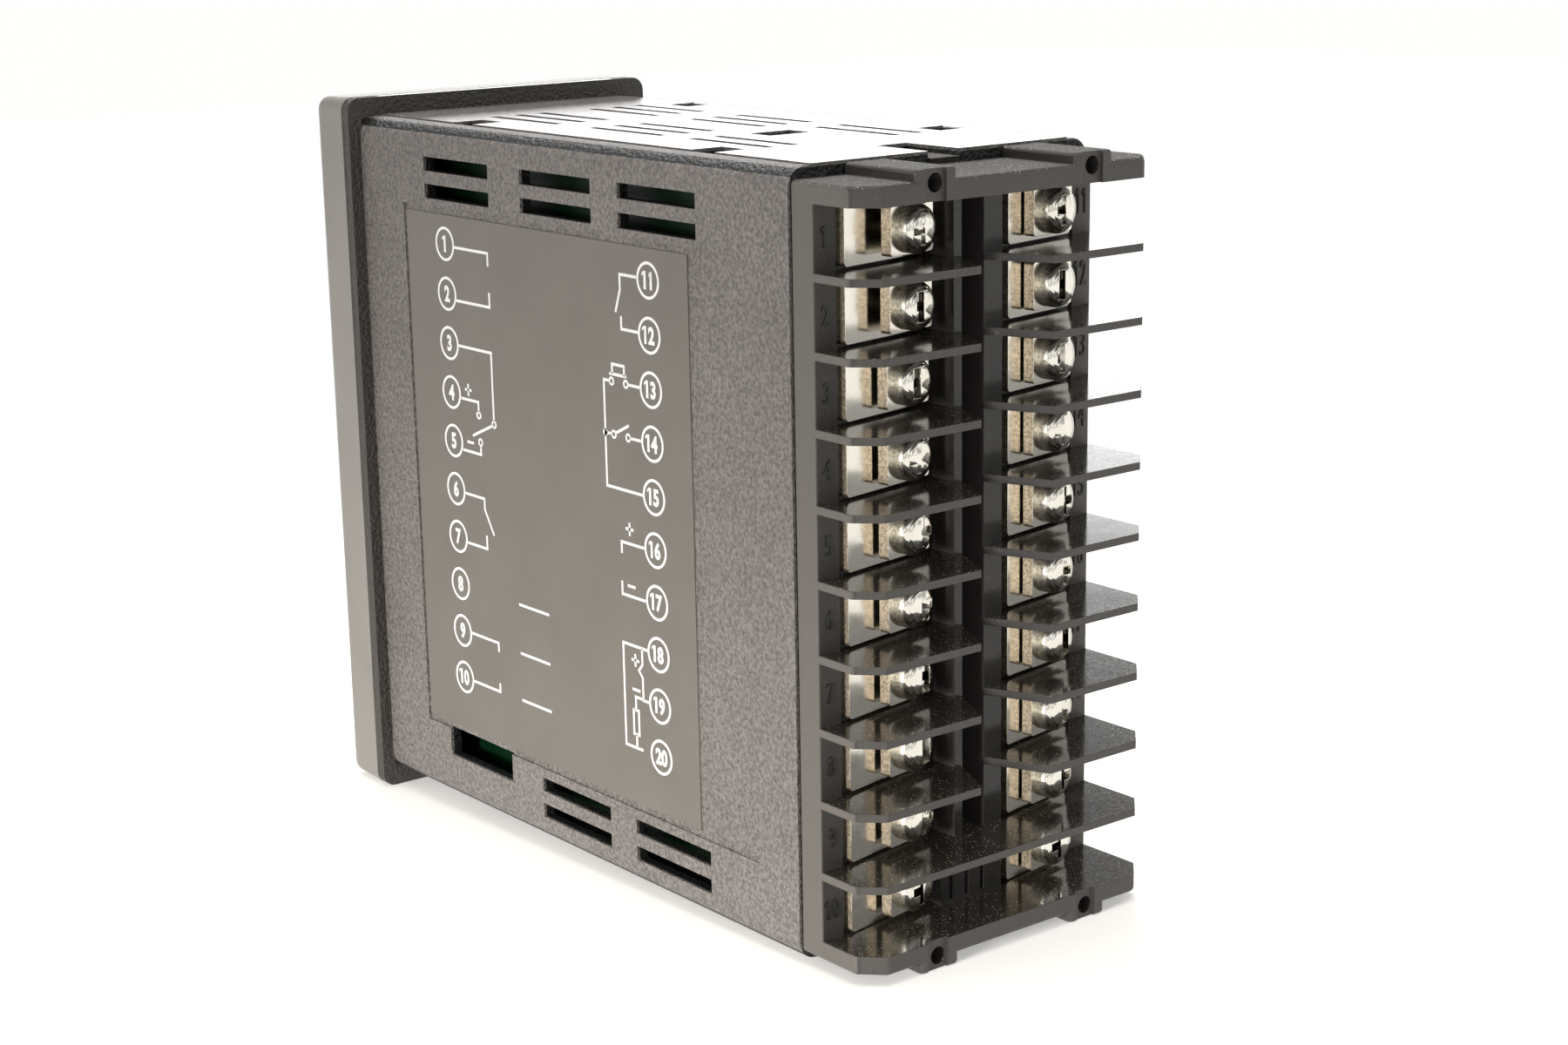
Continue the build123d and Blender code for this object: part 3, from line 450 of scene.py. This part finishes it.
def nickel_plate(name, edge_tint, smooth_range, wave, recess_painted_shade):
    """Bright nickel with fine scratches, warmer where the metal was sheared.

    smooth_range is its roughness from one patch to another and wave the height of its unevenness.
    recess_painted_shade is the colour of the painted shade in the screws' recesses, and None leaves recess
    and dome out.
    """
    material, output, add, link = new_material(name)
    place = add("ShaderNodeTexCoord").outputs["Object"]
    stretched = add("ShaderNodeMapping", in_Vector=place, in_Scale=(1.0, 1.0, 0.08)).outputs[0]
    scratches = add("ShaderNodeTexNoise", in_Vector=stretched, in_Scale=4200.0, in_Detail=2.0)
    cloud = add("ShaderNodeTexNoise", in_Vector=place, in_Scale=420.0, in_Detail=3.0)
    normal = add("ShaderNodeNewGeometry").outputs["True Normal"]
    facing = add("ShaderNodeVectorMath", operation="DOT_PRODUCT")
    link(normal, facing.inputs[0])
    facing.inputs[1].default_value = (-math.sin(COLUMN_TILT), math.cos(COLUMN_TILT), 0)
    edge = ramp(add, arithmetic(add, "ABSOLUTE", facing.outputs["Value"]), [(0.3, 1.0), (0.6, 0.0)])
    torn = add("ShaderNodeTexNoise", in_Vector=place, in_Scale=3000.0, in_Detail=4.0, in_Roughness=0.7)
    shade = ramp(add, torn.outputs["Fac"], [(0.38, 0.45), (0.6, 1.0)])
    colour = ramp(add, cloud.outputs["Fac"], [(0.35, (0.9, 0.86, 0.76)), (0.7, (0.97, 0.94, 0.86))])
    sheared = mix_colour(add, 1.0, shade, edge_tint, "MULTIPLY")
    colour = mix_colour(add, edge, colour, sheared)
    base_normal = rounded(add, METAL_ROUNDING)
    if recess_painted_shade is not None:
        reach, recess = screw_masks(add, place, edge)
        # Painted shade in the screws' recesses
        colour = mix_colour(add, recess, colour, recess_painted_shade)
        # The head's flat top is shaded as a dome
        reach = arithmetic(add, "MINIMUM", reach, DOME_END)
        dome = arithmetic(add, "SUBTRACT", 2.0, arithmetic(add, "MULTIPLY", reach, reach))
        base_normal = bumped(add, dome, DOME_HEIGHT, below=base_normal)
    smooth = ramp(add, cloud.outputs["Fac"], [(0.3, smooth_range[0]), (0.7, smooth_range[1])])
    shader = add(
        "ShaderNodeBsdfPrincipled",
        in_Base_Color=colour,
        in_Metallic=1.0,
        in_Roughness=arithmetic(add, "MULTIPLY_ADD", edge, 0.3, smooth),
        in_Normal=bumped(
            add,
            scratches.outputs["Fac"],
            0.002 * MM,
            0.25,
            below=bumped(add, cloud.outputs["Fac"], wave, 0.5, below=base_normal),
        ),
    )
    link(shader.outputs[0], output.inputs["Surface"])
    return material


def smooth_plastic(name, dark, light, roughness, grain_scale=GRAIN):
    """A plain moulded or painted surface with a slight mottle and grain."""
    material, output, add, link = new_material(name)
    place = add("ShaderNodeTexCoord").outputs["Object"]
    cloud = add("ShaderNodeTexNoise", in_Vector=place, in_Scale=120.0, in_Detail=3.0)
    grain = add("ShaderNodeTexNoise", in_Vector=place, in_Scale=grain_scale, in_Detail=2.0)
    shader = add(
        "ShaderNodeBsdfPrincipled",
        in_Base_Color=ramp(add, cloud.outputs["Fac"], [(0.3, dark), (0.7, light)]),
        in_Roughness=ramp(add, cloud.outputs["Fac"], [(0.3, roughness * 0.85), (0.7, roughness * 1.1)]),
        in_Normal=bumped(add, grain.outputs["Fac"], 0.01 * MM, 0.4),
    )
    link(shader.outputs[0], output.inputs["Surface"])
    return material


def dress(material, *names):
    """Put one material on the named CAD nodes."""
    for name in names:
        mesh = nodes[name].data
        mesh.materials.clear()
        mesh.materials.append(material)


def dress_nodes():
    """Every CAD node's finish."""
    dress(case_plastic(), "case")
    dress(bezel_plastic(), "bezel")
    dress(label_foil(), "side_label")
    dress(block_plastic(), "terminal_block")
    nickel = nickel_plate("nickel", (0.93, 0.79, 0.61), (0.12, 0.2), 0.03 * MM, None)
    dress(nickel, "square_washers", *[n for n in nodes if n.startswith("terminal_plate")])
    # The screws' last colour is the painted shade in their recesses
    screw = nickel_plate("nickel_screw", (0.95, 0.89, 0.76), (0.08, 0.16), 0.1 * MM, (0.05, 0.04, 0.028))
    dress(screw, "terminal_screws")
    for finish, dark, light, roughness, grain, endings in PLAIN_FINISHES:
        wearers = [name for name in nodes if name.endswith(endings)]
        dress(smooth_plastic(finish, dark, light, roughness, grain), *wearers)


class Relief:
    """Collects thin raised shapes in a plane and makes one mesh of them.

    The plane is given by its origin, its direction to the right and its direction up.
    """

    def __init__(self, name, across, up, rise):
        self.name = name
        self.across = across
        self.up = up
        self.normal = across.cross(up)
        self.rise = rise
        self.mesh = bmesh.new()

    def place(self, origin, x, y, height):
        """A point of the plane, lifted off it by height."""
        return origin + self.across * x + self.up * y + self.normal * height

    def prism(self, origin, outline):
        """A closed prism over a convex outline, counter-clockwise as seen from outside."""
        base = [self.mesh.verts.new(self.place(origin, x, y, 0)) for x, y in outline]
        top = [self.mesh.verts.new(self.place(origin, x, y, self.rise)) for x, y in outline]
        self.mesh.faces.new(top)
        self.mesh.faces.new(base[::-1])
        for i in range(len(outline)):
            j = (i + 1) % len(outline)
            self.mesh.faces.new((base[i], base[j], top[j], top[i]))

    def line(self, origin, points, width):
        """A polyline with mitred joints, as one prism for each run."""
        points = [Vector(p) for p in points]
        sides = []
        for i, point in enumerate(points):
            before = (point - points[i - 1]).normalized() if i > 0 else None
            after = (points[i + 1] - point).normalized() if i + 1 < len(points) else None
            along = ((before or after) + (after or before)).normalized()
            run = after or before
            side = Vector((-along.y, along.x))
            half = width / 2 / max(0.4, side.dot(Vector((-run.y, run.x))))
            sides.append((point + side * half, point - side * half))
        for (left_a, right_a), (left_b, right_b) in zip(sides, sides[1:]):
            self.prism(origin, [tuple(right_a), tuple(right_b), tuple(left_b), tuple(left_a)])

    def ring(self, origin, x, y, radius, width, steps=40):
        """A flat ring of the given middle radius."""
        outer = radius + width / 2
        inner = radius - width / 2
        rows = []
        for r, height in ((outer, 0), (outer, self.rise), (inner, self.rise), (inner, 0)):
            rows.append(
                [
                    self.mesh.verts.new(
                        self.place(
                            origin,
                            x + r * math.cos(2 * math.pi * k / steps),
                            y + r * math.sin(2 * math.pi * k / steps),
                            height,
                        )
                    )
                    for k in range(steps)
                ]
            )
        for first, second in zip(rows, rows[1:] + rows[:1]):
            for k in range(steps):
                j = (k + 1) % steps
                self.mesh.faces.new((first[k], first[j], second[j], second[k]))

    def disc(self, origin, x, y, radius, steps=24):
        """A round dot."""
        outline = [
            (x + radius * math.cos(2 * math.pi * k / steps), y + radius * math.sin(2 * math.pi * k / steps))
            for k in range(steps)
        ]
        self.prism(origin, outline)

    def number(self, origin, x, y, text, height, stretch=1.0, weight=0.0):
        """Digits centred on a point; stretch widens them and weight thickens their strokes."""
        curve = bpy.data.curves.new("digits", "FONT")
        curve.body = text
        curve.size = height / CAP_SHARE
        curve.align_x = "CENTER"
        curve.align_y = "CENTER"
        curve.offset = weight
        curve.extrude = self.rise / 2
        curve.resolution_u = 4
        holder = bpy.data.objects.new("digits", curve)
        bpy.context.scene.collection.objects.link(holder)
        graph = bpy.context.evaluated_depsgraph_get()
        mesh = bpy.data.meshes.new_from_object(holder.evaluated_get(graph))
        bpy.data.objects.remove(holder)
        bpy.data.curves.remove(curve)
        xs = [v.co.x for v in mesh.vertices]
        ys = [v.co.y for v in mesh.vertices]
        centre = ((min(xs) + max(xs)) / 2, (min(ys) + max(ys)) / 2)
        scale = height / (max(ys) - min(ys))
        for vertex in mesh.vertices:
            across = x + (vertex.co.x - centre[0]) * scale * stretch
            up = y + (vertex.co.y - centre[1]) * scale
            vertex.co = self.place(origin, across, up, vertex.co.z + self.rise / 2)
        self.mesh.from_mesh(mesh)
        bpy.data.meshes.remove(mesh)
        # The font's 1 is a plain bar, so each leading 1 gets its flag
        bars = [min(xs)] if text.startswith("1") else []
        if text == "11":
            bars.append(max(xs) - DIGIT_BAR * (max(ys) - min(ys)))
        for left in bars:
            self.flag(origin, x + (left - centre[0]) * scale * stretch, y + height / 2, height, stretch)

    def flag(self, origin, x, top, height, stretch):
        """The sloping flag at the top left of a 1."""
        reach = DIGIT_FLAG * height * stretch
        drop = DIGIT_FLAG * height
        outer = [(x - reach, top - drop * 0.7), (x - reach, top - drop * 1.5)]
        self.prism(origin, [(x, top), *outer, (x, top - drop * 0.8)])

    def finish(self, material, slot):
        """Make the collected shapes one piece of the main body."""
        mesh = bpy.data.meshes.new(self.name)
        bmesh.ops.remove_doubles(self.mesh, verts=self.mesh.verts, dist=1e-7)
        bmesh.ops.recalc_face_normals(self.mesh, faces=self.mesh.faces)
        self.mesh.to_mesh(mesh)
        self.mesh.free()
        piece = bpy.data.objects.new(self.name, mesh)
        bpy.context.scene.collection.objects.link(piece)
        mesh.materials.append(material)
        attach(piece, ROOT_BODY)
        return piece


# The label's print, in millimetres on the label: Y to the right and Z up
LEFT_COLUMN = 20.1
RIGHT_COLUMN = 64.6
FIRST_NUMBER = 30.5
NUMBER_PITCH = 6.45
NUMBER_RING = 2.05
NUMBER_HEIGHT = 2.15
NUMBER_STRETCH = 0.86
NUMBER_WEIGHT = 0.12
CONTACT_RING = 0.42
SIGN_HALF = 0.8

# The same print's line widths, as shares of the plain line's
CONTACT_LINE = 0.8
JUNCTION_DOT = 1.3

# Wires as runs of points, contacts as circles, and the signs' middles
LEFT_WIRES = (
    [(22.3, 30.25), (30.15, 30.25), (30.15, 28.6)],
    [(22.3, 23.4), (30.2, 23.4), (30.2, 25.25)],
    [(22.3, 17.55), (30.05, 17.55), (30.05, 8.7)],
    [(29.7, 8.1), (24.85, 6.1)],
    [(22.4, 10.7), (26.5, 10.7), (26.5, 9.4)],
    [(22.3, 3.85), (26.65, 3.85), (26.65, 5.05)],
    [(22.4, -1.95), (26.95, -1.95), (26.95, -3.35), (28.95, -6.5)],
    [(22.4, -8.6), (27.15, -8.6), (27.15, -6.8)],
    [(22.3, -20.95), (28.85, -20.95), (28.85, -22.15)],
    [(22.3, -27.6), (28.8, -27.6), (28.8, -26.45)],
    [(34.2, -14.6), (41.1, -14.6)],
    [(34.1, -21.15), (40.9, -21.15)],
    [(34.0, -27.5), (40.8, -27.5)],
)
RIGHT_WIRES = (
    [(62.3, 30.65), (58.95, 30.65), (58.95, 28.85), (57.9, 26.05)],
    [(62.3, 24.15), (59.0, 24.15), (59.0, 25.7)],
    [(62.3, 17.6), (60.0, 17.6)],
    [(56.15, 17.6), (55.0, 17.6), (55.0, 4.6), (62.4, 4.6)],
    [(57.15, 11.35), (59.9, 12.65)],
    [(55.0, 11.15), (56.35, 11.15)],
    [(60.1, 11.15), (62.3, 11.15)],
    [(56.2, 18.5), (59.75, 18.5)],
    [(56.8, 18.5), (56.8, 19.7), (59.25, 19.7), (59.25, 18.5)],
    [(62.3, -1.9), (57.65, -1.9), (57.65, -3.35)],
    [(62.3, -8.45), (57.5, -8.45), (57.5, -6.8)],
    [(62.3, -14.6), (57.3, -14.6), (57.3, -27.6), (60.85, -27.6)],
    [(61.2, -14.6), (61.2, -16.65), (60.45, -17.5), (61.2, -18.35), (61.2, -21.15), (62.4, -21.15)],
    [(61.2, -21.05), (59.6, -21.05), (59.6, -22.75)],
    [(59.6, -25.85), (59.6, -27.6)],
    [(59.05, -22.75), (60.15, -22.75), (60.15, -25.85), (59.05, -25.85), (59.05, -22.6)],
)
CONTACTS = (
    (30.05, 8.3),
    (26.5, 9.0),
    (26.65, 5.45),
    (56.6, 17.6),
    (59.55, 17.6),
    (56.75, 11.15),
    (59.7, 11.15),
)
PLUS_SIGNS = ((24.2, 12.0), (59.4, -0.1), (59.75, -16.4))
MINUS_SIGNS = ((24.2, 5.1), (59.45, -7.2), (59.8, -20.15))
JUNCTION = (55.0, 11.15)


def label_print():
    """Numbers in circles and the plain wiring symbols between them."""
    ink = Relief("label_print", Vector((0, 1, 0)), Vector((0, 0, 1)), PRINT_RISE)
    origin = Vector((LABEL_FACE, 0, 0))
    for index in range(2 * TERMINAL_ROWS):
        x = (LEFT_COLUMN if index < TERMINAL_ROWS else RIGHT_COLUMN) * MM
        y = (FIRST_NUMBER - NUMBER_PITCH * (index % TERMINAL_ROWS)) * MM
        ink.ring(origin, x, y, NUMBER_RING * MM, LINE_WIDTH)
        ink.number(origin, x, y, str(index + 1), NUMBER_HEIGHT * MM, NUMBER_STRETCH, NUMBER_WEIGHT * MM)
    for wire in LEFT_WIRES + RIGHT_WIRES:
        ink.line(origin, [(x * MM, y * MM) for x, y in wire], LINE_WIDTH)
    for x, y in CONTACTS:
        ink.ring(origin, x * MM, y * MM, CONTACT_RING * MM, LINE_WIDTH * CONTACT_LINE, steps=20)
    for x, y in PLUS_SIGNS:
        ink.line(origin, [(x * MM, (y - SIGN_HALF) * MM), (x * MM, (y + SIGN_HALF) * MM)], LINE_WIDTH)
    for x, y in PLUS_SIGNS + MINUS_SIGNS:
        ink.line(origin, [((x - SIGN_HALF) * MM, y * MM), ((x + SIGN_HALF) * MM, y * MM)], LINE_WIDTH)
    ink.disc(origin, JUNCTION[0] * MM, JUNCTION[1] * MM, LINE_WIDTH * JUNCTION_DOT)
    return ink.finish(print_ink(), "label")


# Moulded numbers beside the terminals: their strips, rise, and each column's height and stretch
NEAR_STRIP = Vector((20.65, 94.9, 0)) * MM
FAR_STRIP = Vector((-20.75, 91.9, 0)) * MM
MOULD_RISE = 0.15 * MM
NEAR_DIGIT = (2.3 * MM, 0.7)
FAR_DIGIT = (2.9 * MM, 0.5)


def moulded_numbers():
    """Raised numbers on the strips outside the two columns."""
    relief = Relief("terminal_numbers", Vector((-1, 0, 0)), Vector((0, 0, 1)), MOULD_RISE)
    for row in range(TERMINAL_ROWS):
        level = TERMINAL_TOP - TERMINAL_PITCH * row
        relief.number(NEAR_STRIP, 0, level, str(row + 1), *NEAR_DIGIT)
        relief.number(FAR_STRIP, 0, level, str(row + 1 + TERMINAL_ROWS), *FAR_DIGIT)
    shadowed = smooth_plastic("number_plastic", (0.008, 0.0075, 0.007), (0.013, 0.012, 0.011), 0.35)
    return relief.finish(shadowed, "block_plastic")


def floor_material():
    """Pale floor: white to the camera, with the object's shadow kept."""
    material, output, add, link = new_material("floor_paper")
    place = add("ShaderNodeTexCoord").outputs["Object"]
    cloud = add("ShaderNodeTexNoise", in_Vector=place, in_Scale=12.0, in_Detail=2.0)
    colour = ramp(add, cloud.outputs["Fac"], [(0.3, (0.86, 0.85, 0.83)), (0.7, (0.89, 0.88, 0.86))])
    plain = add("ShaderNodeBsdfDiffuse", in_Color=colour)
    bright = add("ShaderNodeBsdfDiffuse", in_Color=(1.0, 0.97, 0.91, 1))
    glow = add("ShaderNodeEmission", in_Color=(1, 1, 1, 1), in_Strength=FLOOR_GLOW)
    near = add("ShaderNodeAddShader")
    link(bright.outputs[0], near.inputs[0])
    link(glow.outputs[0], near.inputs[1])
    # Far from the part the camera sees plain white, so that the floor has no edge
    reach = add("ShaderNodeVectorMath", operation="DISTANCE")
    link(place, reach.inputs[0])
    reach.inputs[1].default_value = FLOOR_MIDDLE
    far = rescaled(add, reach.outputs["Value"], *FLOOR_FADE)
    white = add("ShaderNodeEmission", in_Color=(1, 1, 1, 1), in_Strength=1.0)
    seen = add("ShaderNodeMixShader", in_Fac=far)
    link(near.outputs[0], seen.inputs[1])
    link(white.outputs[0], seen.inputs[2])
    path = add("ShaderNodeLightPath")
    mirrored = add("ShaderNodeEmission", in_Color=(1, 0.985, 0.96, 1), in_Strength=1.0)
    glossy = add("ShaderNodeMixShader", in_Fac=path.outputs["Is Glossy Ray"])
    link(plain.outputs[0], glossy.inputs[1])
    link(mirrored.outputs[0], glossy.inputs[2])
    both = add("ShaderNodeMixShader", in_Fac=path.outputs["Is Camera Ray"])
    link(glossy.outputs[0], both.inputs[1])
    link(seen.outputs[0], both.inputs[2])
    link(both.outputs[0], output.inputs["Surface"])
    return material


def make_floor():
    """The surface that the part rests on: under the bezel's lower edge and the rear lugs."""
    front = Vector((0, *REST_FRONT))
    rear = Vector((0, *REST_REAR))
    along = (rear - front).normalized()
    normal = Vector((1, 0, 0)).cross(along)
    middle = (front + rear) / 2 - normal * FLOOR_GAP
    across = Vector((1, 0, 0)) * FLOOR_SIZE / 2
    along *= FLOOR_SIZE / 2
    corners = [middle + across * x + along * y for x, y in ((-1, -1), (1, -1), (1, 1), (-1, 1))]
    mesh = bpy.data.meshes.new("floor")
    mesh.from_pydata([tuple(c) for c in corners], [], [(0, 1, 2, 3)])
    mesh.materials.append(floor_material())
    floor = bpy.data.objects.new("floor", mesh)
    bpy.context.scene.collection.objects.link(floor)


def make_world():
    """White surroundings for the camera and for reflections, a softer level for the light itself.

    In the reflections a darker band stands over the horizon beyond the bezel, and the room behind
    the camera has unlit patches.
    """
    world = bpy.data.worlds.new("studio")
    bpy.context.scene.world = world
    world.use_nodes = True
    world.node_tree.nodes.clear()
    add, link = node_helpers(world.node_tree)
    output = add("ShaderNodeOutputWorld")
    path = add("ShaderNodeLightPath")
    direction = add("ShaderNodeTexCoord").outputs["Generated"]
    way = axes(add, direction)
    band = ramp(add, way["Z"], [(0.14, 0.0), (0.24, 1.0), (0.45, 1.0), (0.7, 0.0)])
    front = ramp(add, arithmetic(add, "MULTIPLY", way["Y"], -1.0), [(0.1, 0.0), (0.4, 1.0)])
    room = add("ShaderNodeTexNoise", in_Vector=direction, in_Scale=2.6)
    behind = ramp(add, way["Y"], [(0.05, 0.0), (0.3, 1.0)])
    unlit = arithmetic(add, "MULTIPLY", ramp(add, room.outputs["Fac"], [(0.44, 0.0), (0.54, 1.0)]), behind)
    mirrored = arithmetic(
        add,
        "MULTIPLY_ADD",
        arithmetic(add, "MAXIMUM", arithmetic(add, "MULTIPLY", band, front), unlit),
        WORLD_BAND - WORLD_GLOSSY,
        WORLD_GLOSSY - WORLD_DIFFUSE,
    )
    seen = arithmetic(add, "MAXIMUM", path.outputs["Is Camera Ray"], path.outputs["Is Transmission Ray"])
    strength = arithmetic(add, "MULTIPLY_ADD", seen, 1.0 - WORLD_DIFFUSE, WORLD_DIFFUSE)
    strength = arithmetic(add, "MULTIPLY_ADD", path.outputs["Is Glossy Ray"], mirrored, strength)
    background = add("ShaderNodeBackground", in_Color=(1, 0.995, 0.985, 1), in_Strength=strength)
    link(background.outputs[0], output.inputs["Surface"])


def add_lamp(name, place, aim, size, power, height=None, spread=180.0, colour=(1, 1, 1)):
    """An area lamp aimed at a point, square unless it has a height of its own.

    spread is the full angle of its beam in degrees.
    """
    lamp = bpy.data.lights.new(name, "AREA")
    lamp.shape = "RECTANGLE"
    lamp.size = size
    lamp.size_y = size if height is None else height
    lamp.energy = power
    lamp.spread = math.radians(spread)
    lamp.color = colour
    holder = bpy.data.objects.new(name, lamp)
    bpy.context.scene.collection.objects.link(holder)
    holder.location = place
    holder.rotation_euler = (Vector(aim) - Vector(place)).to_track_quat("-Z", "Y").to_euler()


def make_lamps():
    """Soft studio lamps round the part."""
    middle = (0, 0.05, 0)
    warm = (1.0, 0.97, 0.92)
    add_lamp("side_lamp", (0.75, -0.35, 0.35), middle, 0.7, 0.8, colour=warm)
    add_lamp("low_lamp", (0.5, 0.2, 0.02), (0.02, 0.06, -0.16), 0.1, 0.33, spread=44.0, colour=warm)
    add_lamp("back_lamp", (-0.35, -0.6, 0.85), middle, 0.5, 8.0)
    add_lamp("top_lamp", (0.1, 0.2, 1.1), middle, 0.7, 4.0)
    # A low strip beyond the bezel, for the pale sheen along the top
    add_lamp("rim_lamp", (-0.68, -0.86, 0.17), middle, 0.6, 1.2, height=0.25)


def make_camera():
    """The photograph's view."""
    data = bpy.data.cameras.new("camera")
    data.sensor_width = SENSOR_WIDTH
    data.lens = CAMERA_LENS
    data.clip_start = 0.01
    data.clip_end = 20
    camera = bpy.data.objects.new("camera", data)
    bpy.context.scene.collection.objects.link(camera)
    back = -CAMERA_VIEW.normalized()
    right = CAMERA_UP.cross(back).normalized()
    up = back.cross(right)
    turn = Matrix((right, up, back)).transposed().to_4x4()
    camera.matrix_world = Matrix.Translation(CAMERA_PLACE) @ turn
    bpy.context.scene.camera = camera


dress_nodes()
label_print()
moulded_numbers()
make_floor()
make_world()
make_lamps()
make_camera()
bpy.context.scene.view_settings.view_transform = "Standard"
